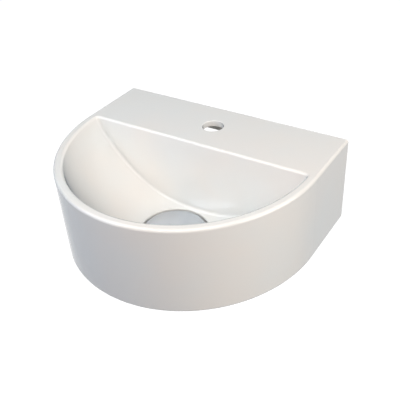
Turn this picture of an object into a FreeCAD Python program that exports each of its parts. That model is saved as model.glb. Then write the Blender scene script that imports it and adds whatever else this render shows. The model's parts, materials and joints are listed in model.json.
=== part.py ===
import FreeCAD, Part
import Sketcher
import math
import os

# Wall hung basin: a D-shaped basin with a half-round bowl, a tap ledge along the wall, a push-open
# waste in a round recess, and the bolts that hold it to the wall.
#
# Frame: X to the right seen from the front, the front of the basin towards -Y, +Z up. The wall is the
# plane Y = 0. The origin lies on the wall, midway between the two wall bolts. Millimetres.
# Levels are heights counted from the top of the tap ledge, which lies fixing_drop above the origin.

doc = FreeCAD.newDocument("wall_hung_basin")
sheet = doc.addObject("Spreadsheet::Sheet", "Sizes")

DRIVING_SIZES = [
    # the ceramic, seen from above
    ("basin_width", 420.0, "overall width along the wall"),
    ("basin_reach", 344.0, "from the wall to the front of the bowl"),
    ("side_straight", 122.0, "straight part of each side, before the rounded front"),
    ("rim_width", 14.0, "flat rim round the bowl"),
    ("ledge_depth", 120.0, "tap ledge, from the wall to the bowl"),
    # the ceramic, seen from the side
    ("basin_height", 147.0, "ledge to the foot of the skirt"),
    ("base_clearance", 1.5, "waste seat above the foot of the skirt"),
    ("seat_thickness", 10.5, "ceramic clamped by the waste"),
    ("recess_depth", 10.0, "round recess for the waste, below the bowl's floor"),
    ("recess_radius", 56.0, "round recess for the waste"),
    ("recess_gap", 5.0, "open ring between the recess and the cap"),
    ("back_lean", 3.5, "lean of the bowl's back from upright, in degrees"),
    ("foot_landing", 5.2, "floor between the bowl's back and the recess"),
    ("bowl_fullness", 1.4, "exponent of the bowl's section: 1 is a cone, 2 is an ellipse"),
    ("skin", 10.0, "thickness of the bowl's shell"),
    ("skirt_wall", 11.0, "thickness of the outer wall"),
    ("back_wall", 12.0, "thickness of the wall that hangs on the bolts"),
    ("ledge_thickness", 10.0, "thickness of the tap ledge"),
    # rounded edges
    ("rim_round", 4.5, "upper edges"),
    ("foot_round", 3.0, "lower outer edge"),
    ("corner_round", 5.0, "upright corners at the wall"),
    ("crease_round", 5.0, "where the bowl's back meets its side"),
    ("recess_round", 3.0, "edge of the recess"),
    ("tap_round", 1.2, "edge of the tap hole"),
    # holes
    ("tap_radius", 17.5, "tap hole"),
    ("tap_setback", 60.0, "tap hole's centre from the wall"),
    ("waste_hole_gap", 2.0, "hole for the waste, wider than the tail on the radius"),
    ("fixing_spacing", 280.0, "between the wall bolts"),
    ("fixing_drop", 65.0, "wall bolts below the ledge"),
    ("relief_depth", 1.0, "hollow of the back between its two ground strips"),
    ("relief_height", 70.0, "height of that hollow"),
    ("service_width", 210.0, "open part of the wall side, for the pipes"),
    ("service_drop", 37.0, "ledge to the top of that opening"),
    ("service_round", 20.0, "upper corners of that opening"),
    # waste fitting
    ("tail_radius", 20.955, "outside of the 1 1/4 inch pipe thread"),
    ("tail_wall", 4.0, "wall of the tail"),
    ("tail_drop", 40.0, "tail below the waste seat"),
    ("tail_chamfer", 1.0, "lead-in of the thread"),
    ("tail_groove_gap", 1.0, "back nut to the groove that ends its thread"),
    ("tail_groove_width", 2.0, "groove between the back nut's thread and the trap's thread"),
    ("tail_groove_depth", 0.8, "that groove"),
    ("flange_land", 13.0, "flange from its mouth to its rim"),
    ("flange_thickness", 3.0, "flange in the recess"),
    ("flange_bevel", 1.2, "bevelled rim of the flange"),
    ("mouth_flare", 3.0, "mouth of the flange, wider than the bore on the radius"),
    ("mouth_depth", 8.0, "cone from the mouth to the bore"),
    ("flange_seal_thickness", 1.5, "soft ring under the flange"),
    ("lower_seal_thickness", 4.0, "rubber ring under the ceramic"),
    ("lower_seal_radius", 31.0, "rubber ring under the ceramic"),
    ("spigot_height", 3.0, "cone of the rubber ring, up into the hole"),
    ("slip_washer_thickness", 1.2, "plain washer above the back nut"),
    ("back_nut_flats", 54.0, "back nut, across its flats"),
    ("back_nut_height", 8.0, "back nut"),
    ("web_drop", 18.5, "strainer web below the flange's underside"),
    ("web_thickness", 6.0, "strainer web"),
    ("web_hole_radius", 3.0, "drain holes in the web"),
    ("web_hole_count", 6, "drain holes in the web"),
    # push-open plug
    ("cap_edge", 2.8, "upright edge of the cap"),
    ("cap_skirt", 1.6, "wall of the cap below its plate"),
    ("cap_plate", 1.2, "plate of the cap at its edge"),
    ("cap_crown", 2.6, "rise of the cap towards its middle"),
    ("carrier_gap", 7.0, "moulded carrier, smaller than the cap on the radius"),
    ("carrier_thickness", 2.2, "moulded carrier under the cap"),
    ("carrier_boss_radius", 7.5, "boss that takes the stem"),
    ("carrier_boss_height", 5.0, "boss below the carrier"),
    ("plug_seal_thickness", 1.8, "ring that closes the mouth"),
    ("plug_seal_width", 4.0, "ring that closes the mouth"),
    ("stem_radius", 4.0, "sliding stem"),
    ("stem_tip_radius", 3.0, "lower end of the stem"),
    ("stem_tip_length", 11.0, "lower end of the stem"),
    ("stem_engagement", 5.5, "thread of the stem in the carrier"),
    ("locknut_flats", 13.0, "nut below the carrier"),
    ("locknut_height", 4.0, "nut below the carrier"),
    ("plug_travel", 9.0, "rise of the plug when it opens"),
    ("stop_gap", 0.5, "left between the index ring and its stop when open"),
    # push-open cartridge
    ("housing_wall", 1.9, "wall of the cartridge"),
    ("housing_bore", 6.1, "inside of the cartridge"),
    ("housing_above", 10.0, "cartridge above the web"),
    ("housing_below", 22.0, "cartridge below the web's upper face"),
    ("housing_lip", 3.0, "lip that guides the stem"),
    ("collar_width", 2.0, "collar that rests on the web"),
    ("collar_height", 2.0, "collar that rests on the web"),
    ("cartridge_nut_flats", 20.0, "nut under the web"),
    ("cartridge_nut_height", 3.5, "nut under the web"),
    ("retainer_plate", 1.5, "cover of the cartridge's lower end"),
    ("retainer_plug", 3.0, "part of that cover inside the cartridge"),
    ("index_ring_height", 6.0, "ring that turns a step at each push"),
    ("index_slot_width", 2.0, "slots in that ring"),
    ("index_slot_depth", 1.1, "slots in that ring"),
    ("index_slot_count", 4, "slots in that ring"),
    ("spring_wire", 0.9, "wire of the spring"),
    ("spring_gap", 0.5, "spring to the cartridge's wall"),
    ("spring_turns", 4.5, "turns of the spring"),
    ("spring_end_gap", 0.1, "spring to the piece at each of its ends"),
    # wall fixings
    ("bolt_radius", 5.0, "wall bolt"),
    ("screw_radius", 4.5, "coach screw end of the bolt"),
    ("screw_length", 60.0, "coach screw end of the bolt, in the wall"),
    ("screw_point", 12.0, "its point"),
    ("bolt_past_nut", 11.5, "bolt beyond its nut"),
    ("sleeve_collar_width", 4.0, "collar of the insulating sleeve"),
    ("sleeve_collar", 2.0, "collar of the insulating sleeve"),
    ("sleeve_wall", 1.6, "tube of the insulating sleeve"),
    ("washer_radius", 14.0, "flat washer"),
    ("washer_thickness", 2.5, "flat washer"),
    ("nut_flats", 17.0, "nut of the wall bolt"),
    ("nut_height", 8.0, "nut of the wall bolt"),
    ("cover_wall", 1.5, "cover over the nut"),
    # clearances
    ("slide_clearance", 0.08, "running fit, on the radius"),
    ("thread_clearance", 0.05, "thread or press fit, on the radius"),
    ("loose_clearance", 0.2, "loose fit, on the radius"),
]

for row, (name, number, note) in enumerate(DRIVING_SIZES, start=1):
    sheet.set("A%d" % row, name)
    sheet.set("B%d" % row, str(number))
    sheet.set("C%d" % row, note)
    sheet.setAlias("B%d" % row, name)
doc.recompute()


class Size:
    """A number together with the sheet expression that drives it."""

    def __init__(self, value, text):
        self.value = float(value)
        self.text = text

    def __add__(self, other):
        other = as_size(other)
        return Size(self.value + other.value, "(%s + %s)" % (self.text, other.text))

    def __sub__(self, other):
        other = as_size(other)
        return Size(self.value - other.value, "(%s - %s)" % (self.text, other.text))

    def __mul__(self, other):
        other = as_size(other)
        return Size(self.value * other.value, "(%s * %s)" % (self.text, other.text))

    def __truediv__(self, other):
        other = as_size(other)
        return Size(self.value / other.value, "(%s / %s)" % (self.text, other.text))

    def __neg__(self):
        return Size(-self.value, "(-1 * %s)" % self.text)

    def __float__(self):
        return self.value


def as_size(number):
    if isinstance(number, Size):
        return number
    return Size(number, repr(float(number)))


class Sizes:
    """The sheet's cells, each as an attribute of its own name."""

    def __init__(self):
        for name, _, _ in DRIVING_SIZES:
            setattr(self, name, Size(getattr(sheet, name), "Sizes.%s" % name))


z = Sizes()
ZERO = as_size(0)
NEAR = 1e-3
PARALLEL = 1e-6   # how far a product of two unit vectors may be from 1 when they are parallel
OVERCUT = 1.0     # how far a cutting shape runs past the face it opens
QUARTER_TURN = FreeCAD.Placement(FreeCAD.Vector(0, 0, 0), FreeCAD.Rotation(FreeCAD.Vector(1, 0, 0), 90))

# Sizes and levels worked out from the driving sizes.
lean_slope = Size(math.tan(math.radians(float(z.back_lean))), "tan(Sizes.back_lean * 1 deg)")
bowl_depth = z.basin_height - z.base_clearance - z.seat_thickness - z.recess_depth
waste_setback = z.ledge_depth + bowl_depth * lean_slope + z.foot_landing + z.recess_radius
waste_hole_radius = z.tail_radius + z.waste_hole_gap
tail_bore = z.tail_radius - z.tail_wall
mouth_radius = tail_bore + z.mouth_flare
flange_radius = mouth_radius + z.flange_land
cap_radius = z.recess_radius - z.recess_gap
clamp_depth = z.lower_seal_thickness + z.slip_washer_thickness + z.back_nut_height
housing_radius = z.housing_bore + z.housing_wall
collar_radius = housing_radius + z.collar_width
fixing_radius = z.bolt_radius + z.loose_clearance + z.sleeve_wall + z.loose_clearance

recess_level = -(bowl_depth + z.recess_depth)
seat_level = recess_level - z.seat_thickness
flange_level = recess_level + z.flange_seal_thickness
seal_level = flange_level + z.flange_thickness
carrier_level = seal_level + z.plug_seal_thickness
cap_level = carrier_level + z.carrier_thickness
web_level = flange_level - z.web_drop
index_top = z.housing_above - z.housing_lip - z.stop_gap - z.plug_travel
index_bottom = index_top - z.index_ring_height


def bind(item, **expressions):
    """Set properties of a document object from sizes, and keep them driven by the sheet."""
    for name, size in expressions.items():
        item.setExpression(name, as_size(size).text)


def place_on_waste(item, level):
    """Stand a piece on the waste's axis, at a level counted from the ledge."""
    item.setExpression("Placement.Base.y", (-waste_setback).text)
    item.setExpression("Placement.Base.z", (z.fixing_drop + level).text)


def origin_plane(body, role):
    for feature in body.Origin.OriginFeatures:
        if feature.Role == role:
            return feature
    raise ValueError("no origin plane %s" % role)


def new_sketch(body, name, plane):
    sketch = body.newObject("Sketcher::SketchObject", name)
    sketch.AttachmentSupport = [(origin_plane(body, plane), "")]
    sketch.MapMode = "FlatFace"
    return sketch


def hold_point(sketch, curve, end, along, up):
    """Hold one end of a curve at a distance along and up from the sketch's origin."""
    for kind, size in (("DistanceX", along), ("DistanceY", up)):
        index = sketch.addConstraint(Sketcher.Constraint(kind, -1, 1, curve, end, float(size)))
        sketch.setExpression("Constraints[%d]" % index, as_size(size).text)


def outline_sketch(body, name, plane, corners):
    """A closed outline of straight runs, each corner a pair of sizes."""
    sketch = new_sketch(body, name, plane)
    points = [FreeCAD.Vector(float(along), float(up), 0) for along, up in corners]
    count = len(points)
    for i in range(count):
        sketch.addGeometry(Part.LineSegment(points[i], points[(i + 1) % count]), False)
    for i in range(count):
        sketch.addConstraint(Sketcher.Constraint("Coincident", i, 2, (i + 1) % count, 1))
    for i, (along, up) in enumerate(corners):
        hold_point(sketch, i, 1, along, up)
    return sketch


def circle_sketch(body, name, plane, radius, along=ZERO, up=ZERO):
    sketch = new_sketch(body, name, plane)
    centre = FreeCAD.Vector(float(along), float(up), 0)
    sketch.addGeometry(Part.Circle(centre, FreeCAD.Vector(0, 0, 1), float(radius)), False)
    index = sketch.addConstraint(Sketcher.Constraint("Radius", 0, float(radius)))
    sketch.setExpression("Constraints[%d]" % index, as_size(radius).text)
    hold_point(sketch, 0, 3, along, up)
    return sketch


def hexagon_sketch(body, name, flats):
    """A regular hexagon on the XY plane, given across its flats."""
    half = flats / 2
    corner = flats / math.sqrt(3)
    corners = [(corner, ZERO), (corner / 2, half), (-corner / 2, half)]
    corners += [(-corner, ZERO), (-corner / 2, -half), (corner / 2, -half)]
    return outline_sketch(body, name, "XY_Plane", corners)


def new_body(label):
    body = doc.addObject("PartDesign::Body", label)
    body.Label = label
    return body


def revolve(body, sketch, name):
    turn = body.newObject("PartDesign::Revolution", name)
    turn.Profile = sketch
    turn.ReferenceAxis = (sketch, ["V_Axis"])
    turn.Angle = 360
    return turn


def pad(body, sketch, name, length, reverse=False):
    feature = body.newObject("PartDesign::Pad", name)
    feature.Profile = sketch
    feature.Reversed = reverse
    bind(feature, Length=length)
    return feature


def pocket(body, sketch, name, length, reverse=False):
    feature = body.newObject("PartDesign::Pocket", name)
    feature.Profile = sketch
    feature.Reversed = reverse
    bind(feature, Length=length)
    return feature


def turned_body(label, corners):
    """A piece turned about its own Z axis from an outline of (radius, height) corners."""
    body = new_body(label)
    sketch = outline_sketch(body, label + "_outline", "XZ_Plane", corners)
    revolve(body, sketch, label + "_turned")
    return body


def ring_body(label, inner, outer, height):
    corners = [(inner, ZERO), (outer, ZERO), (outer, height), (inner, height)]
    return turned_body(label, corners)


def nut_body(label, flats, height, bore):
    body = new_body(label)
    pad(body, hexagon_sketch(body, label + "_hexagon", flats), label + "_blank", height)
    doc.recompute()
    hole = circle_sketch(body, label + "_circle", "XY_Plane", bore)
    pocket(body, hole, label + "_bore", height, reverse=True)
    return body


# ---------------------------------------------------------------- the ceramic


def oval_wire(along_x, along_y, centre_y, level):
    """An ellipse in a level plane, starting on its +X side."""
    circle = Part.Wire([Part.makeCircle(1.0)])
    stretch = FreeCAD.Matrix()
    stretch.scale(along_x, along_y, 1.0)
    oval = circle.transformGeometry(stretch)
    oval.translate(FreeCAD.Vector(0, centre_y, level))
    return oval


def bowl_loft(grow):
    """The bowl as a full dish, larger all round by grow: ovals from the rim down to the recess."""
    depth = float(bowl_depth) + grow
    half_width = float(z.basin_width / 2 - z.rim_width)
    half_reach = float(z.basin_reach - z.side_straight - z.rim_width)
    rim_centre = -float(z.side_straight)
    waste_centre = -float(waste_setback)
    small = float(z.recess_radius)
    power = 2.0 / float(z.bowl_fullness)
    steps = 5
    sections = []
    for step in range(steps + 1):
        turn = math.pi / 2 * step / steps
        spread = math.cos(turn) ** power if step < steps else 0.0
        level = -depth * math.sin(turn) ** power
        along_x = small + (half_width - small) * spread + grow
        along_y = small + (half_reach - small) * spread + grow
        centre_y = waste_centre + (rim_centre - waste_centre) * spread
        sections.append(oval_wire(along_x, along_y, centre_y, level))
    return Part.makeLoft(sections, True, False)


def in_front_of_back(behind):
    """The space in front of the bowl's leaning back, moved towards the wall by behind."""
    width = float(z.basin_width)
    reach = float(z.basin_reach)
    height = float(z.basin_height) * 2
    top = -float(z.ledge_depth) + behind
    lean = float(lean_slope)
    edge = [FreeCAD.Vector(-width, top + height * lean, height)]
    edge.append(FreeCAD.Vector(-width, top - height * lean, -height))
    edge.append(FreeCAD.Vector(-width, top - reach - height, -height))
    edge.append(FreeCAD.Vector(-width, top - reach - height, height))
    side = Part.Face(Part.makePolygon(edge + [edge[0]]))
    return side.extrude(FreeCAD.Vector(2 * width, 0, 0))


def upright(radius, x, y, low, high):
    """An upright cylinder between two levels."""
    return Part.makeCylinder(radius, high - low, FreeCAD.Vector(x, y, low))


def bowl_cavity():
    """The space inside the bowl: dish, leaning back with a soft crease, and the recess."""
    dish = bowl_loft(0.0).common(in_front_of_back(0.0))
    square_to_back = FreeCAD.Vector(0, 1, -float(lean_slope)).normalize()
    crease = []
    for face in dish.Faces:
        if abs(abs(face.normalAt(0, 0).dot(square_to_back)) - 1) < PARALLEL:
            crease = [edge for edge in face.Edges if edge.BoundBox.ZMin < -NEAR]
    dish = dish.makeFillet(float(z.crease_round), crease)
    floor = -float(bowl_depth)
    recess = upright(float(z.recess_radius), 0, -float(waste_setback), float(recess_level), floor)
    return dish.fuse(recess)


def bowl_shell():
    """The outside of the bowl's shell, with the thick seat that the waste clamps."""
    grow = float(z.skin)
    dish = bowl_loft(grow).common(in_front_of_back(grow))
    radius = float(z.recess_radius) + grow
    return dish.fuse(upright(radius, 0, -float(waste_setback), float(seat_level), -float(bowl_depth)))


def front_arc(half, front, straight, level):
    """The rounded front as half an ellipse, from one straight side to the other."""
    centre = FreeCAD.Vector(0, straight, level)
    across = FreeCAD.Vector(half, 0, 0)
    ahead = FreeCAD.Vector(0, front, 0)
    if half >= front:
        oval = Part.Ellipse(centre + across, centre + ahead, centre)
        return Part.ArcOfEllipse(oval, math.pi, 2 * math.pi).toShape()
    oval = Part.Ellipse(centre + ahead, centre - across, centre)
    return Part.ArcOfEllipse(oval, math.pi / 2, 3 * math.pi / 2).toShape()


def d_block(inset, back, low, high):
    """The basin's plan, drawn in at the sides and front, as a solid between two levels."""
    half = float(z.basin_width / 2) - inset
    front = float(z.basin_reach - z.side_straight) - inset
    arc = front_arc(half, front, -float(z.side_straight), low)
    left, right = [vertex.Point for vertex in arc.Vertexes]
    left_back = FreeCAD.Vector(left.x, -back, low)
    right_back = FreeCAD.Vector(right.x, -back, low)
    plan = [arc, Part.makeLine(right, right_back)]
    plan.append(Part.makeLine(right_back, left_back))
    plan.append(Part.makeLine(left_back, left))
    return Part.Face(Part.Wire(plan)).extrude(FreeCAD.Vector(0, 0, high - low))


def edges_where(shape, test):
    return [edge for edge in shape.Edges if test(edge.BoundBox)]


def edges_at(shape, level):
    """The edges that lie flat in one level."""
    return edges_where(shape, lambda box: abs(box.ZMin - level) < NEAR and abs(box.ZMax - level) < NEAR)


def is_round(edge, radius):
    return isinstance(edge.Curve, Part.Circle) and abs(edge.Curve.Radius - radius) < NEAR


def block():
    """The basin's outline as a solid block, with its corners and lower edge rounded."""
    foot = -float(z.basin_height)
    solid = d_block(0.0, 0.0, foot, 0.0)
    corners = edges_where(solid, lambda box: box.ZLength > NEAR and box.YMin > -NEAR)
    solid = solid.makeFillet(float(z.corner_round), corners)
    return solid.makeFillet(float(z.foot_round), edges_at(solid, foot))


def service_cut():
    """The open part of the wall side, from the foot up, with rounded upper corners."""
    wide = float(z.service_width)
    deep = float(z.back_wall) + 2 * OVERCUT
    top = -float(z.service_drop)
    foot = -float(z.basin_height) - OVERCUT
    gap = Part.makeBox(wide, deep, top - foot, FreeCAD.Vector(-wide / 2, OVERCUT - deep, foot))
    corners = edges_where(gap, lambda box: box.XLength < NEAR and box.ZMin > top - NEAR)
    return gap.makeFillet(float(z.service_round), corners)


def cut_wall_side(shape):
    """The hollow of the back between its ground strips, the pipes' way in and the bolt holes."""
    bolt_level = -float(z.fixing_drop)
    past_side = float(z.basin_width) / 2 + OVERCUT
    tall = float(z.relief_height)
    corner = FreeCAD.Vector(-past_side, -float(z.relief_depth), bolt_level - tall / 2)
    shape = shape.cut(Part.makeBox(2 * past_side, float(z.relief_depth) + OVERCUT, tall, corner))
    shape = shape.cut(service_cut())
    for side in (-1, 1):
        start = FreeCAD.Vector(side * float(z.fixing_spacing) / 2, OVERCUT, bolt_level)
        length = float(z.back_wall) + 2 * OVERCUT
        shape = shape.cut(Part.makeCylinder(float(fixing_radius), length, start, FreeCAD.Vector(0, -1, 0)))
    return shape


def basin_shape():
    """The ceramic, with its ledge's top at level 0."""
    foot = -float(z.basin_height)
    ceiling = -float(z.ledge_thickness)
    hollow = d_block(float(z.skirt_wall), float(z.back_wall), foot - OVERCUT, ceiling).cut(bowl_shell())
    shape = block().cut(bowl_cavity()).cut(hollow)

    waste_y = -float(waste_setback)
    shape = shape.cut(upright(float(waste_hole_radius), 0, waste_y, foot, float(recess_level) + OVERCUT))
    tap_y = -float(z.tap_setback)
    shape = shape.cut(upright(float(z.tap_radius), 0, tap_y, ceiling - OVERCUT, OVERCUT))
    shape = cut_wall_side(shape)

    tap = float(z.tap_radius)
    brim = [edge for edge in edges_at(shape, 0.0) if not is_round(edge, tap)]
    shape = shape.makeFillet(float(z.rim_round), brim)
    tap_edge = [edge for edge in edges_at(shape, 0.0) if is_round(edge, tap)]
    shape = shape.makeFillet(float(z.tap_round), tap_edge)
    return shape.makeFillet(float(z.recess_round), edges_at(shape, -float(bowl_depth)))


def basin():
    item = doc.addObject("Part::Feature", "basin_body")
    item.Label = "basin_body"
    item.Shape = basin_shape()
    item.setExpression("Placement.Base.z", z.fixing_drop.text)
    return item


# ---------------------------------------------------------------- the waste fitting


def waste_body():
    """Flange, cone and threaded tail in one piece, with a strainer web across the bore."""
    body = new_body("waste_body")
    seat = -(z.flange_seal_thickness + z.seat_thickness)
    bottom = seat - z.tail_drop
    groove_top = seat - clamp_depth - z.tail_groove_gap
    groove_bottom = groove_top - z.tail_groove_width
    groove_radius = z.tail_radius - z.tail_groove_depth
    top = z.flange_thickness
    corners = [(tail_bore, bottom), (z.tail_radius - z.tail_chamfer, bottom)]
    corners += [(z.tail_radius, bottom + z.tail_chamfer), (z.tail_radius, groove_bottom)]
    corners += [(groove_radius, groove_bottom), (groove_radius, groove_top)]
    corners += [(z.tail_radius, groove_top), (z.tail_radius, ZERO), (flange_radius, ZERO)]
    corners += [(flange_radius, top - z.flange_bevel), (flange_radius - z.flange_bevel, top)]
    corners += [(mouth_radius, top), (tail_bore, top - z.mouth_depth)]
    revolve(body, outline_sketch(body, "waste_outline", "XZ_Plane", corners), "waste_turned")

    disc = circle_sketch(body, "web_disc", "XY_Plane", tail_bore + z.tail_wall / 2)
    disc.setExpression("AttachmentOffset.Base.z", (-z.web_drop).text)
    pad(body, disc, "web", z.web_thickness, reverse=True)
    doc.recompute()
    centre = circle_sketch(body, "cartridge_circle", "XY_Plane", housing_radius + z.thread_clearance)
    pocket(body, centre, "cartridge_hole", z.web_drop + z.web_thickness + OVERCUT)
    drain_pitch = (collar_radius + tail_bore) / 2
    drain = circle_sketch(body, "drain_circle", "XY_Plane", z.web_hole_radius, drain_pitch)
    hole = pocket(body, drain, "drain_hole", z.web_drop + z.web_thickness + OVERCUT)
    doc.recompute()
    ring = body.newObject("PartDesign::PolarPattern", "drain_holes")
    ring.Originals = [hole]
    ring.Axis = (origin_plane(body, "Z_Axis"), [""])
    ring.Angle = 360
    bind(ring, Occurrences=z.web_hole_count)
    body.Tip = ring
    place_on_waste(body, flange_level)
    return body


def flange_seal():
    body = ring_body("flange_seal", z.tail_radius + z.loose_clearance,
                     flange_radius - z.flange_bevel, z.flange_seal_thickness)
    place_on_waste(body, recess_level)
    return body


def lower_seal():
    """Rubber ring under the ceramic, with a cone that centres the tail in its hole."""
    inner = z.tail_radius + z.thread_clearance
    top = z.lower_seal_thickness + z.spigot_height
    corners = [(inner, ZERO), (z.lower_seal_radius, ZERO), (z.lower_seal_radius, z.lower_seal_thickness)]
    corners += [(waste_hole_radius - z.loose_clearance, z.lower_seal_thickness)]
    corners += [(inner + z.waste_hole_gap / 3, top), (inner, top)]
    body = turned_body("lower_seal", corners)
    place_on_waste(body, seat_level - z.lower_seal_thickness)
    return body


def slip_washer():
    body = ring_body("slip_washer", z.tail_radius + z.loose_clearance,
                     z.lower_seal_radius, z.slip_washer_thickness)
    place_on_waste(body, seat_level - z.lower_seal_thickness - z.slip_washer_thickness)
    return body


def back_nut():
    body = nut_body("back_nut", z.back_nut_flats, z.back_nut_height, z.tail_radius + z.thread_clearance)
    place_on_waste(body, seat_level - clamp_depth)
    return body


# ---------------------------------------------------------------- the push-open plug


def plug_cap():
    """Chrome cap: a gently crowned plate with a short skirt round the carrier."""
    body = new_body("plug_cap")
    skirt_end = z.cap_plate - z.cap_edge
    crown = z.cap_plate + z.cap_crown
    inner = cap_radius - z.cap_skirt
    corners = [(ZERO, ZERO), (inner, ZERO), (inner, skirt_end)]
    corners += [(cap_radius, skirt_end), (cap_radius, z.cap_plate), (ZERO, crown)]
    sketch = new_sketch(body, "cap_outline", "XZ_Plane")
    points = [FreeCAD.Vector(float(along), float(up), 0) for along, up in corners]
    count = len(points)
    dome = 4
    dome_radius = (cap_radius * cap_radius + z.cap_crown * z.cap_crown) / (z.cap_crown * 2)
    for i in range(count):
        start, end = points[i], points[(i + 1) % count]
        if i == dome:
            rise = float(dome_radius) - math.sqrt(float(dome_radius) ** 2 - float(cap_radius / 2) ** 2)
            middle = FreeCAD.Vector(float(cap_radius) / 2, float(crown) - rise, 0)
            sketch.addGeometry(Part.Arc(start, middle, end), False)
        else:
            sketch.addGeometry(Part.LineSegment(start, end), False)
    for i in range(count):
        sketch.addConstraint(Sketcher.Constraint("Coincident", i, 2, (i + 1) % count, 1))
    for i, (along, up) in enumerate(corners):
        hold_point(sketch, i, 1, along, up)
    index = sketch.addConstraint(Sketcher.Constraint("Radius", dome, float(dome_radius)))
    sketch.setExpression("Constraints[%d]" % index, dome_radius.text)
    revolve(body, sketch, "cap_turned")
    place_on_waste(body, cap_level)
    return body


def cap_carrier():
    """Moulded disc under the cap, with a boss that takes the stem."""
    hole = z.stem_radius + z.thread_clearance
    bottom = -z.carrier_boss_height
    hole_end = bottom + z.stem_engagement + z.loose_clearance
    edge = cap_radius - z.carrier_gap
    corners = [(hole, bottom), (z.carrier_boss_radius, bottom), (z.carrier_boss_radius, ZERO)]
    corners += [(edge, ZERO), (edge, z.carrier_thickness), (ZERO, z.carrier_thickness)]
    corners += [(ZERO, hole_end), (hole, hole_end)]
    body = turned_body("cap_carrier", corners)
    place_on_waste(body, carrier_level)
    return body


def plug_seal():
    inner = mouth_radius + z.flange_bevel
    body = ring_body("plug_seal", inner, inner + z.plug_seal_width, z.plug_seal_thickness)
    place_on_waste(body, seal_level)
    return body


def plug_stem():
    """Sliding stem: its shoulder presses the index ring, its thin tip guides the spring."""
    foot_level = web_level + index_top
    top = carrier_level - z.carrier_boss_height + z.stem_engagement - foot_level
    corners = [(ZERO, -z.stem_tip_length), (z.stem_tip_radius, -z.stem_tip_length)]
    corners += [(z.stem_tip_radius, ZERO), (z.stem_radius, ZERO), (z.stem_radius, top), (ZERO, top)]
    body = turned_body("plug_stem", corners)
    place_on_waste(body, foot_level)
    return body


def stem_locknut():
    body = nut_body("stem_locknut", z.locknut_flats, z.locknut_height, z.stem_radius + z.thread_clearance)
    place_on_waste(body, carrier_level - z.carrier_boss_height - z.locknut_height)
    return body


# ---------------------------------------------------------------- the push-open cartridge


def cartridge_housing():
    """Tube through the web: a collar rests on the web and a lip at the top guides the stem."""
    lip_radius = z.stem_radius + z.slide_clearance
    lip_bottom = z.housing_above - z.housing_lip
    corners = [(z.housing_bore, -z.housing_below), (housing_radius, -z.housing_below)]
    corners += [(housing_radius, ZERO), (collar_radius, ZERO), (collar_radius, z.collar_height)]
    corners += [(housing_radius, z.collar_height), (housing_radius, z.housing_above)]
    corners += [(lip_radius, z.housing_above), (lip_radius, lip_bottom), (z.housing_bore, lip_bottom)]
    body = turned_body("cartridge_housing", corners)
    place_on_waste(body, web_level)
    return body


def cartridge_nut():
    bore = housing_radius + z.thread_clearance
    body = nut_body("cartridge_nut", z.cartridge_nut_flats, z.cartridge_nut_height, bore)
    place_on_waste(body, web_level - z.web_thickness - z.cartridge_nut_height)
    return body


def cartridge_retainer():
    """Cover pressed into the lower end of the cartridge; the spring stands on it."""
    hole = z.stem_tip_radius + z.loose_clearance
    inner = z.housing_bore - z.thread_clearance
    corners = [(hole, -z.retainer_plate), (housing_radius, -z.retainer_plate), (housing_radius, ZERO)]
    corners += [(inner, ZERO), (inner, z.retainer_plug), (hole, z.retainer_plug)]
    body = turned_body("cartridge_retainer", corners)
    place_on_waste(body, web_level - z.housing_below)
    return body


def index_ring():
    """Slotted ring on the stem's tip; it turns by a step at each push."""
    outer = z.housing_bore - z.slide_clearance
    body = ring_body("index_ring", z.stem_tip_radius + z.slide_clearance, outer, z.index_ring_height)
    doc.recompute()
    half = z.index_slot_width / 2
    floor = outer - z.index_slot_depth
    past = outer + OVERCUT
    corners = [(floor, -half), (past, -half), (past, half), (floor, half)]
    slot = outline_sketch(body, "index_slot_outline", "XY_Plane", corners)
    cut = pocket(body, slot, "index_slot", z.index_ring_height, reverse=True)
    doc.recompute()
    ring = body.newObject("PartDesign::PolarPattern", "index_slots")
    ring.Originals = [cut]
    ring.Axis = (origin_plane(body, "Z_Axis"), [""])
    ring.Angle = 360
    bind(ring, Occurrences=z.index_slot_count)
    body.Tip = ring
    place_on_waste(body, web_level + index_bottom)
    return body


def latch_spring():
    """Compression spring between the cover and the index ring, as one swept wire."""
    middle = z.housing_bore - z.spring_gap - z.spring_wire / 2
    bottom = z.retainer_plug - z.housing_below + z.spring_end_gap
    height = index_bottom - z.spring_end_gap - bottom - z.spring_wire
    path = doc.addObject("Part::Helix", "spring_path")
    bind(path, Radius=middle, Height=height, Pitch=height / z.spring_turns)
    wire = doc.addObject("Part::Circle", "spring_section")
    bind(wire, Radius=z.spring_wire / 2)
    wire.Placement = QUARTER_TURN
    wire.setExpression("Placement.Base.x", middle.text)
    spring = doc.addObject("Part::Sweep", "latch_spring")
    spring.Label = "latch_spring"
    spring.Sections = [wire]
    spring.Spine = path
    spring.Solid = True
    spring.Frenet = True
    place_on_waste(spring, web_level + bottom + z.spring_wire / 2)
    return spring


# ---------------------------------------------------------------- the wall fixings


def pair_on_wall(label, body):
    """Two of a fastener, one at each wall bolt, its own Z axis pointing out from the wall."""
    body.Placement = QUARTER_TURN
    body.setExpression("Placement.Base.x", (z.fixing_spacing / 2).text)
    twin = doc.addObject("Part::Mirroring", label + "_left")
    twin.Source = body
    twin.Normal = FreeCAD.Vector(1, 0, 0)
    pair = doc.addObject("Part::Compound", label)
    pair.Label = label
    pair.Links = [body, twin]
    return pair


washer_start = z.back_wall + z.sleeve_collar
nut_start = washer_start + z.washer_thickness
nut_end = nut_start + z.nut_height
bolt_end = nut_end + z.bolt_past_nut


def wall_bolts():
    """Hanger bolts: the pointed end in the wall, the plain end through the ceramic."""
    corners = [(ZERO, -z.screw_length), (z.screw_radius, z.screw_point - z.screw_length)]
    corners += [(z.screw_radius, ZERO), (z.bolt_radius, ZERO), (z.bolt_radius, bolt_end), (ZERO, bolt_end)]
    return pair_on_wall("wall_bolts", turned_body("wall_bolt", corners))


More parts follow.
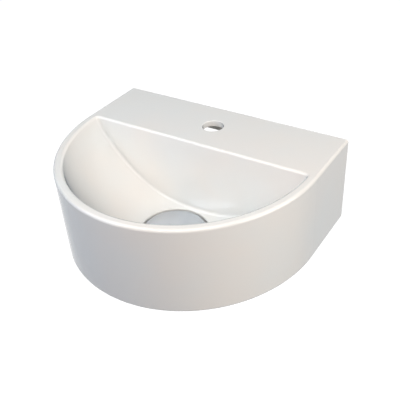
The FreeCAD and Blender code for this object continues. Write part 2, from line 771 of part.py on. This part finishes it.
def fixing_sleeves():
    """Soft sleeves that keep the bolts off the ceramic, with a collar inside the back."""
    outer = fixing_radius - z.loose_clearance
    inner = outer - z.sleeve_wall
    collar = fixing_radius + z.sleeve_collar_width
    corners = [(inner, z.relief_depth), (outer, z.relief_depth), (outer, z.back_wall)]
    corners += [(collar, z.back_wall), (collar, washer_start), (inner, washer_start)]
    return pair_on_wall("fixing_sleeves", turned_body("fixing_sleeve", corners))


def fixing_washers():
    inner = z.bolt_radius + z.loose_clearance
    corners = [(inner, washer_start), (z.washer_radius, washer_start)]
    corners += [(z.washer_radius, nut_start), (inner, nut_start)]
    return pair_on_wall("fixing_washers", turned_body("fixing_washer", corners))


def fixing_nuts():
    body = new_body("fixing_nut")
    blank = hexagon_sketch(body, "fixing_nut_hexagon", z.nut_flats)
    blank.setExpression("AttachmentOffset.Base.z", nut_start.text)
    pad(body, blank, "fixing_nut_blank", z.nut_height)
    doc.recompute()
    hole = circle_sketch(body, "fixing_nut_circle", "XY_Plane", z.bolt_radius + z.thread_clearance)
    pocket(body, hole, "fixing_nut_bore", nut_end, reverse=True)
    return pair_on_wall("fixing_nuts", body)


def nut_covers():
    """Moulded covers pushed over the nuts."""
    inner = z.nut_flats / math.sqrt(3) + z.loose_clearance
    outer = inner + z.cover_wall
    end = bolt_end + z.cover_wall
    ceiling = end - z.cover_wall + z.loose_clearance
    corners = [(inner, nut_start), (outer, nut_start), (outer, end)]
    corners += [(ZERO, end), (ZERO, ceiling), (inner, ceiling)]
    return pair_on_wall("nut_covers", turned_body("nut_cover", corners))


PIECES = [
    basin, waste_body, flange_seal, lower_seal, slip_washer, back_nut,
    plug_cap, cap_carrier, plug_seal, plug_stem, stem_locknut,
    cartridge_housing, cartridge_nut, cartridge_retainer, index_ring, latch_spring,
    wall_bolts, fixing_sleeves, fixing_washers, fixing_nuts, nut_covers,
]


def check_and_write():
    """Refuse a failed object or an empty or invalid shape, then write one file for each node."""
    for item in doc.Objects:
        if "Invalid" in item.State or "Error" in item.State:
            raise RuntimeError("%s failed: %s" % (item.Label, item.State))
    for node in nodes:
        if node.Shape.isNull() or not node.Shape.isValid():
            raise RuntimeError("%s has no valid shape" % node.Label)
    os.makedirs("parts", exist_ok=True)
    for node in nodes:
        node.Shape.exportStep("parts/%s.step" % node.Label)
        print("%-20s %3d solids %12.1f mm3" % (node.Label, len(node.Shape.Solids), node.Shape.Volume))


nodes = [piece() for piece in PIECES]
doc.recompute()
check_and_write()
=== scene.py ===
# %% [markdown]
# # A wall hung basin
#
# The object is a small wash basin in white glazed vitreous china. It hangs on two wall bolts, and
# its waste is closed by a large round push-open plug. The solids come from the CAD model, at their
# real size and place. This script gives them their looks: real threads on the wall bolts, a finish
# on every surface, soft studio light, and a camera that stands where the photographer stood.
#
# Everything is in metres. X is to the right seen from the front, the front is towards -Y, Z is up,
# and the wall is the plane Y = 0.

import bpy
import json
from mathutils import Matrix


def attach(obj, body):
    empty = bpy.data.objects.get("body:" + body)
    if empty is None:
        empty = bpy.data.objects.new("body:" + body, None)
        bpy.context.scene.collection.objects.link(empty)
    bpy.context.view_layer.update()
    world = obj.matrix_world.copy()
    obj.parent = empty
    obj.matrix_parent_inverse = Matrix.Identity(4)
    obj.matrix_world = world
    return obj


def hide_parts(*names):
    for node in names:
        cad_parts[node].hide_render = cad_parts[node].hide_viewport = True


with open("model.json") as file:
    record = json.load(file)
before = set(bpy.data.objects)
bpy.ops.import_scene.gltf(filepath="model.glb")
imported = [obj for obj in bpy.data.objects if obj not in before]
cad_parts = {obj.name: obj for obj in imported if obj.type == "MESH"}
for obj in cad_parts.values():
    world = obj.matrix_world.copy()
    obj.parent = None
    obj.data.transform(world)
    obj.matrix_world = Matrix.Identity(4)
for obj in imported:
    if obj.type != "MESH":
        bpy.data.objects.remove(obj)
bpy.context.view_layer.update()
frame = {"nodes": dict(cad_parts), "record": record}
nodes = frame["nodes"]
print("nodes:", ", ".join(sorted(nodes)))

# %% Modules and the scene
import json
import math

import bmesh
import bpy
from mathutils import Matrix, Vector

scene = bpy.context.scene
MM = 0.001
print("Blender", bpy.app.version_string)

# %% [markdown]
# ## Where the photographer stood
#
# A photograph fixes the camera: the directions in which the parallel edges of the ledge run give
# the angles, and how fast they draw together gives the distance. Here those numbers were found by
# comparing thirty points of the outline with the same points of the model. The focal length is
# counted in pixels of a 400 pixel wide picture, so the lens is that many parts of the sensor.

# %% The camera
PICTURE_PX = 400
FOCAL_PX = 617.4
SENSOR_MM = 36.0
AZIMUTH = math.radians(34.77)     # to the right of straight ahead
ELEVATION = math.radians(35.54)   # above the horizon
ROLL = math.radians(-3.89)        # the camera was held a little aslant
STAND = Vector((482.21, -805.81, 552.80)) * MM


def make_camera():
    data = bpy.data.cameras.new("camera")
    data.sensor_width = SENSOR_MM
    data.lens = FOCAL_PX / PICTURE_PX * SENSOR_MM
    camera = bpy.data.objects.new("camera", data)
    turn = Matrix.Rotation(AZIMUTH, 4, "Z") @ Matrix.Rotation(math.pi / 2 - ELEVATION, 4, "X")
    camera.matrix_world = Matrix.Translation(STAND) @ turn @ Matrix.Rotation(ROLL, 4, "Z")
    scene.collection.objects.link(camera)
    scene.camera = camera
    return camera


camera = make_camera()
print("lens in mm:", round(camera.data.lens, 2))

# %% [markdown]
# ## Colour and nodes
#
# Colours are written the way a paint chart or a web page writes them, in sRGB. Blender works with
# light, which is linear, so one function turns the one into the other. Its numbers are those of the
# sRGB curve: a short straight foot, then a power. A second small function adds a shader node with
# its settings and its links.


# %% Two helpers
def linear(code):
    """An sRGB colour such as 'e3ded9' as linear red, green, blue and alpha."""
    parts = [int(code[i:i + 2], 16) / 255 for i in (0, 2, 4)]
    light = [p / 12.92 if p <= 0.04045 else ((p + 0.055) / 1.055) ** 2.4 for p in parts]
    return (*light, 1.0)


def add(tree, kind, inputs=None, **settings):
    """Adds a node. An input's value may be a number, a colour, or another node's output."""
    node = tree.nodes.new(kind)
    for name, value in settings.items():
        setattr(node, name, value)
    for name, value in (inputs or {}).items():
        if isinstance(value, bpy.types.NodeSocket):
            tree.links.new(value, node.inputs[name])
        else:
            node.inputs[name].default_value = value
    return node


print("mid grey 808080 in linear light:", round(linear("808080")[0], 3))

# %% [markdown]
# ## A material begins the same way each time
#
# Every finish here is one Principled shader with constants of its own, a colour that varies a
# little, and a bump. Patterns read Object coordinates. The pieces sit at the origin, so these are
# real metres on the basin, and a pattern's scale is one divided by its real size.


# %% A blank material, its colour and its unevenness
def blank(name):
    """A new material, its nodes, its shader, and the place that its patterns read."""
    material = bpy.data.materials.new(name)
    material.use_nodes = True
    tree = material.node_tree
    shader = tree.nodes["Principled BSDF"]
    place = add(tree, "ShaderNodeTexCoord").outputs["Object"]
    return material, tree, shader, place


def mottle(tree, place, size_mm, light, dark):
    """A colour that drifts between two tones in patches of about this size."""
    noise = add(tree, "ShaderNodeTexNoise",
                {"Vector": place, "Scale": 1 / (size_mm * MM), "Detail": 2.0})
    drift = add(tree, "ShaderNodeMix",
                {"Factor": noise.outputs["Fac"], "A": linear(dark), "B": linear(light)},
                data_type="RGBA")
    return drift.outputs["Result"]


def ripple(tree, shader, place, size_mm, depth_mm, detail):
    """Makes the surface uneven, in waves of about this size and depth."""
    noise = add(tree, "ShaderNodeTexNoise",
                {"Vector": place, "Scale": 1 / (size_mm * MM), "Detail": detail})
    bump = add(tree, "ShaderNodeBump",
               {"Height": noise.outputs["Fac"], "Strength": 1.0, "Distance": depth_mm * MM})
    tree.links.new(bump.outputs["Normal"], shader.inputs["Normal"])


FINISH = {}                       # the record's material slots, and what dresses each
print("a pattern of 10 mm has the scale", round(1 / (10 * MM)))

# %% [markdown]
# ## Vitreous china
#
# Sanitary ware is cast from liquid clay, sprayed with a white glaze and fired. The glaze melts to a
# layer of glass about half a millimetre thick. It gives the eye three things: a body that is nearly
# white but not quite, sharp reflections of the lamps, and a surface that is never dead flat, because
# the glaze ran a little before it set. So the colour drifts between a warm and a cool white over
# about a hand's width, the roughness is low, and a slow ripple of a few hundredths of a millimetre
# bends the reflections.
#
# Where the surface slants away from the eye, the white is mixed towards a cool grey: this is painted
# shade, which darkens and cools the sides that the eye sees at a slant. Layer Weight's Facing is 0
# where the surface is seen square on and 1 at its edge, and a power keeps the painted shade near the
# edge. This painted shade follows the view, so a baked model keeps only the two whites.

# %% The glaze
# How closely the painted shade at the slanting sides keeps to the edge.
PAINTED_SHADE_POWER = 2.6                  # the higher it is, the nearer the grey keeps to the edge


def glazed_china():
    material, tree, shader, place = blank("glazed_vitreous_china")
    face_on = mottle(tree, place, size_mm=130, light="f8efe6", dark="ebf1f2")
    # Painted shade: the base colour turns cool grey where the surface is seen at a slant.
    painted_shade = add(tree, "ShaderNodeLayerWeight").outputs["Facing"]
    painted_shade = add(tree, "ShaderNodeMath", {0: painted_shade, 1: PAINTED_SHADE_POWER}, operation="POWER").outputs[0]
    colour = add(tree, "ShaderNodeMix", {"Factor": painted_shade, "A": face_on, "B": linear("6b7885")},
                 data_type="RGBA")
    tree.links.new(colour.outputs["Result"], shader.inputs["Base Color"])
    shader.inputs["Roughness"].default_value = 0.07
    shader.inputs["IOR"].default_value = 1.52
    ripple(tree, shader, place, size_mm=28, depth_mm=0.05, detail=1.0)
    return material


FINISH["glazed_ceramic"] = glazed_china()
print("glaze:", FINISH["glazed_ceramic"].name)

# %% [markdown]
# ## Chrome on brass
#
# The plug's cap and the waste's flange are brass, turned, polished and plated. A metal's colour is
# its reflection, so the base colour is a light neutral grey. The flange is bright. The cap is
# satin: it spreads what it reflects. Both are faintly uneven, far less than shows as a shape, and
# that takes the edge off their reflections.


# %% Chrome
def chrome(name, light, dark, roughness):
    material, tree, shader, place = blank(name)
    shader.inputs["Metallic"].default_value = 1.0
    colour = mottle(tree, place, size_mm=14, light=light, dark=dark)
    tree.links.new(colour, shader.inputs["Base Color"])
    shader.inputs["Roughness"].default_value = roughness
    ripple(tree, shader, place, size_mm=1.5, depth_mm=0.002, detail=3.0)
    return material


FINISH["waste_chrome"] = chrome("polished_chrome", "cfd2d5", "c8cbcf", roughness=0.1)
FINISH["cap_chrome"] = chrome("satin_chrome", "c9cdd2", "c3c7cd", roughness=0.22)
print("plate:", FINISH["waste_chrome"].name, "and", FINISH["cap_chrome"].name)

# %% [markdown]
# ## Rubber and plastic
#
# Moulded rubber is nearly black and matt. The slip washer and the sleeves are polypropylene, and the
# moulded parts of the plug and its cartridge are acetal. Both have a waxy, slightly uneven surface.
# The covers over the wall nuts are polystyrene, which comes glossy out of a polished mould.


# %% Rubber and plastic
def moulded_rubber():
    material, tree, shader, place = blank("moulded_nitrile_rubber")
    colour = mottle(tree, place, size_mm=4, light="2b2b2c", dark="222223")
    tree.links.new(colour, shader.inputs["Base Color"])
    shader.inputs["Roughness"].default_value = 0.62
    ripple(tree, shader, place, size_mm=0.8, depth_mm=0.02, detail=2.0)
    return material


def moulded_plastic(name, light, dark, roughness):
    material, tree, shader, place = blank(name)
    colour = mottle(tree, place, size_mm=9, light=light, dark=dark)
    tree.links.new(colour, shader.inputs["Base Color"])
    shader.inputs["Roughness"].default_value = roughness
    ripple(tree, shader, place, size_mm=2.0, depth_mm=0.01, detail=2.0)
    return material


FINISH["seal_rubber"] = moulded_rubber()
FINISH["washer_plastic"] = moulded_plastic("polypropylene_natural", "e6e5df", "dcdbd4", roughness=0.5)
FINISH["carrier_plastic"] = moulded_plastic("acetal_grey", "cfd0d0", "c2c3c4", roughness=0.42)
FINISH["index_plastic"] = moulded_plastic("acetal_dark", "5c6268", "50565c", roughness=0.42)
FINISH["cover_plastic"] = moulded_plastic("gloss_polystyrene", "eeeeec", "e6e6e4", roughness=0.18)
print("finishes so far:", len(FINISH))

# %% [markdown]
# ## Brass and zinc plate
#
# Bare brass keeps the rings of the lathe. They are drawn coarser than the tool leaves them, because
# finer ones wouldn't show. The Wave texture makes them: at scale 1 its bands lie tau / 20 metres
# apart, which is 314 mm, and that length divided by the real distance gives the scale. The wall
# bolts are zinc plated, which gives a bluish, slightly cloudy steel.

# %% Brass and steel
WAVE_BAND = math.tau / 20         # metres from band to band at scale 1
RING_MM = 1.776                   # from ring to ring on the brass


def turned_brass():
    material, tree, shader, place = blank("turned_brass")
    shader.inputs["Metallic"].default_value = 1.0
    colour = mottle(tree, place, size_mm=6, light="d8b878", dark="c9a566")
    tree.links.new(colour, shader.inputs["Base Color"])
    shader.inputs["Roughness"].default_value = 0.3
    rings = add(tree, "ShaderNodeTexWave",
                {"Vector": place, "Scale": WAVE_BAND / (RING_MM * MM), "Distortion": 0.3},
                wave_type="BANDS", bands_direction="Z")
    bump = add(tree, "ShaderNodeBump",
               {"Height": rings.outputs["Fac"], "Strength": 1.0, "Distance": 0.008 * MM})
    tree.links.new(bump.outputs["Normal"], shader.inputs["Normal"])
    return material


def zinc_plate():
    material, tree, shader, place = blank("zinc_plated_steel")
    shader.inputs["Metallic"].default_value = 1.0
    colour = mottle(tree, place, size_mm=5, light="c6cbd1", dark="b3b9c1")
    tree.links.new(colour, shader.inputs["Base Color"])
    shader.inputs["Roughness"].default_value = 0.34
    ripple(tree, shader, place, size_mm=1.2, depth_mm=0.01, detail=3.0)
    return material


FINISH["nut_brass"] = FINISH["stem_brass"] = turned_brass()
FINISH["bolt_steel"] = FINISH["spring_steel"] = zinc_plate()
print("finishes:", ", ".join(sorted({material.name for material in FINISH.values()})))

# %% [markdown]
# ## Dressing the pieces
#
# The record gives every CAD node one material slot. So each node loses the plain material it came
# with and gets the finish of its slot. Its mesh and its place stay as the CAD made them.

# %% Dress the CAD nodes
slot_of = {row["node"]: row["material_slot"] for row in frame["record"]["subparts"]}
for name, node in nodes.items():
    node.data.materials.clear()
    node.data.materials.append(FINISH[slot_of[name]])
print("dressed", len(nodes), "nodes")

# %% [markdown]
# ## The wall bolts' threads
#
# The CAD bolts are plain rods. A real hanger bolt has two threads: a fine one for the nut, and a
# coarse one with a point that bites into the wall plug. A screw thread is a toothed line that turns
# about the bolt while it climbs by one tooth, so one full turn makes the whole thread. Two cuts
# square to the bolt give it its ends, and the coarse end is drawn in to its point.

# %% Sizes of the bolts
BOLT_SIDE = 140 * MM              # each bolt from the middle plane
NUT_END = -36 * MM                # how far the bolts come through the wall side
WALL_END = 60 * MM                # how far they reach into the wall
POINT = 12 * MM                   # how much of the end is drawn in
BLUNT = 0.4 * MM                  # what the last cut takes off the point
OVERLAP = 1 * MM                  # the coarse thread begins inside the fine one
# A tooth's corners: how far along the pitch, and how high on the tooth.
FINE = {
    "radius": 5.0 * MM,
    "pitch": 1.5 * MM,
    "tooth": ((0, 0.0), (0.5, 1.0)),
    "depth": 0.9 * MM,
}
COARSE = {
    "radius": 4.5 * MM,
    "pitch": 3.6 * MM,
    "tooth": ((0, 0.0), (0.5, 0.0), (0.75, 1.0)),
    "depth": 1.1 * MM,
}
print("bolt length in mm:", round((WALL_END - BLUNT - NUT_END) / MM, 1))

# %% One thread
TURN_STEPS = 28                   # faces round one turn
SPARE_TURNS = 3                   # beyond the rod's length, for the two cuts to take off
WELD = 1 / 200                    # corners closer than this part of the pitch become one
ON_PLANE = 1e-7                   # metres from a cut within which a corner counts as on it
ON_RIM = 1e-6                     # the same for the rim that the cut left


def toothed_rod(rod, start, end, radius, pitch, tooth, depth):
    """Adds a closed screw thread along Y, from one level to another."""
    root = radius - depth
    turns = math.ceil((end - start) / pitch) + SPARE_TURNS
    points = [(root + depth * height, start + (turn - 1 + along) * pitch)
              for turn in range(turns) for along, height in tooth]
    line = [rod.verts.new((across, up, 0)) for across, up in points]
    edges = [rod.edges.new(pair) for pair in zip(line, line[1:])]
    bmesh.ops.spin(rod, geom=line + edges, cent=(0, 0, 0), axis=(0, 1, 0), angle=math.tau,
                   dvec=(0, pitch / TURN_STEPS, 0), steps=TURN_STEPS)
    bmesh.ops.remove_doubles(rod, verts=rod.verts, dist=pitch * WELD)
    for level, side in ((start, -1), (end, 1)):
        everything = rod.verts[:] + rod.edges[:] + rod.faces[:]
        bmesh.ops.bisect_plane(rod, geom=everything, dist=ON_PLANE, plane_co=(0, level, 0),
                               plane_no=(0, side, 0), clear_outer=True)
        rim = [edge for edge in rod.edges if edge.is_boundary
               and all(abs(vert.co.y - level) < ON_RIM for vert in edge.verts)]
        bmesh.ops.holes_fill(rod, edges=rim, sides=0)


# %% Threaded bolts
def hanger_bolts():
    """Both bolts as one piece, as in the CAD, each with its two threads."""
    mesh = bpy.data.meshes.new("hanger_bolts")
    pair = bmesh.new()
    for thread, start, end in ((FINE, NUT_END, 0.0), (COARSE, -OVERLAP, WALL_END - BLUNT)):
        for side in (-1, 1):
            rod = bmesh.new()
            toothed_rod(rod, start, end, **thread)
            for vert in rod.verts:
                drawn_in = min(1.0, (WALL_END - vert.co.y) / POINT)
                vert.co.x = vert.co.x * drawn_in + side * BOLT_SIDE
                vert.co.z *= drawn_in
            bmesh.ops.recalc_face_normals(rod, faces=rod.faces)
            part = bpy.data.meshes.new("part")
            rod.to_mesh(part)
            pair.from_mesh(part)
            bpy.data.meshes.remove(part)
            rod.free()
    pair.to_mesh(mesh)
    pair.free()
    mesh.materials.append(FINISH["bolt_steel"])
    bolts = bpy.data.objects.new("hanger_bolts", mesh)
    scene.collection.objects.link(bolts)
    return bolts


bolts = hanger_bolts()
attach(bolts, "basin")
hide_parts("wall_bolts")
print("hanger bolts:", len(bolts.data.polygons), "faces")

# %% [markdown]
# ## The white room
#
# The basin hangs in a white room that gives little light of its own. The background is white for
# the camera, and for what the glaze and the chrome reflect, but not for the light that falls on the
# basin: Light Path tells these rays apart.

# %% The background
ROOM_LIGHT = 0.11


def background_rays(tree):
    """1 for the rays that see the white background, 0 for those that carry light to the basin."""
    path = add(tree, "ShaderNodeLightPath")
    seen = path.outputs["Is Camera Ray"]
    for kind in ("Is Glossy Ray", "Is Transmission Ray"):
        either = add(tree, "ShaderNodeMath", {0: seen, 1: path.outputs[kind]}, operation="MAXIMUM")
        seen = either.outputs[0]
    return seen


def make_world():
    world = bpy.data.worlds.new("white_room")
    world.use_nodes = True
    tree = world.node_tree
    tree.nodes.clear()
    room = add(tree, "ShaderNodeBackground", {"Color": linear("ffffff"), "Strength": ROOM_LIGHT})
    white = add(tree, "ShaderNodeBackground", {"Color": linear("ffffff"), "Strength": 1.0})
    mix = add(tree, "ShaderNodeMixShader",
              {0: background_rays(tree), 1: room.outputs[0], 2: white.outputs[0]})
    add(tree, "ShaderNodeOutputWorld", {"Surface": mix.outputs[0]})
    scene.world = world


make_world()
print("world:", scene.world.name)

# %% [markdown]
# ## Light
#
# Most of the light comes from four soft lamps, each as large as a window and two metres off, in
# front of the basin and to its right. Their strengths and tints came from rendering the basin under
# one lamp at a time and asking which sum of those pictures is nearest to the photograph. The
# strongest stands low on the right, and a weak blue one low on the left turns the skirt bluish
# there, as light from the sky does. A fifth lamp stands level behind the basin: it shows the wall
# side, and hardly touches what the photograph shows.

# %% The lamps
AIM = Vector((0, -0.17, 0))       # the middle of the basin
LAMP_DISTANCE = 2.0
LAMP_SIZE = 1.6


def soft_lamp(name, azimuth, elevation, power, colour):
    """A square lamp that looks at the basin. Azimuth 0 is straight in front, and 90 is the right."""
    turn, rise = math.radians(azimuth), math.radians(elevation)
    away = Vector((math.sin(turn) * math.cos(rise), -math.cos(turn) * math.cos(rise), math.sin(rise)))
    data = bpy.data.lights.new(name, "AREA")
    data.shape = "SQUARE"
    data.size = LAMP_SIZE
    data.energy = power
    data.color = linear(colour)[:3]
    lamp = bpy.data.objects.new(name, data)
    lamp.location = AIM + away * LAMP_DISTANCE
    lamp.rotation_euler = (-away).to_track_quat("-Z", "Y").to_euler()
    scene.collection.objects.link(lamp)
    return lamp


# name, azimuth and elevation in degrees, watts, colour
lamps = [
    soft_lamp("window_left", -42, 52, 23.0, "f7fffd"),
    soft_lamp("window_front", 35, 50, 17.5, "ffeee8"),
    soft_lamp("window_right", 94, 20, 27.5, "fffefa"),
    soft_lamp("sky_left", -45, 20, 8.0, "b3c8ff"),
    soft_lamp("behind", 180, 4, 11.0, "ffffff"),
]
print("lamps:", ", ".join(lamp.name for lamp in lamps))

# %% [markdown]
# ## The floor
#
# The floor lies well below, as it does under a basin on a wall. The photograph has a plain white
# background with no shadow, so the paper on the floor is grey and glows white for the rays that see
# the background. For the rays that carry light it is only grey, and little comes back up from it.

# %% Paper on the floor
RIM_LEVEL = 0.065                 # the rim in this frame
RIM_HEIGHT = 0.85                 # the rim of such a basin above the floor
FLOOR_HALF = 6.0                  # from the floor's middle to its edge


def make_floor():
    mesh = bpy.data.meshes.new("floor")
    grid = bmesh.new()
    bmesh.ops.create_grid(grid, x_segments=2, y_segments=2, size=FLOOR_HALF)
    grid.to_mesh(mesh)
    grid.free()
    floor = bpy.data.objects.new("floor", mesh)
    floor.location.z = RIM_LEVEL - RIM_HEIGHT
    scene.collection.objects.link(floor)

    material = bpy.data.materials.new("white_paper")
    material.use_nodes = True
    tree = material.node_tree
    tree.nodes.clear()
    paper = add(tree, "ShaderNodeBsdfDiffuse", {"Color": linear("606060")})
    glow = add(tree, "ShaderNodeEmission", {"Color": linear("ffffff"), "Strength": 1.0})
    lit = add(tree, "ShaderNodeAddShader", {0: paper.outputs[0], 1: glow.outputs[0]})
    dim = add(tree, "ShaderNodeBsdfDiffuse", {"Color": linear("6c6c6c")})
    mix = add(tree, "ShaderNodeMixShader",
              {0: background_rays(tree), 1: dim.outputs[0], 2: lit.outputs[0]})
    add(tree, "ShaderNodeOutputMaterial", {"Surface": mix.outputs[0]})
    mesh.materials.append(material)
    return floor


floor = make_floor()
print("floor level in metres:", round(floor.location.z, 3))

# %% [markdown]
# ## The view
#
# The Standard view shows a colour as it is written.

# %% The view transform
scene.view_settings.view_transform = "Standard"
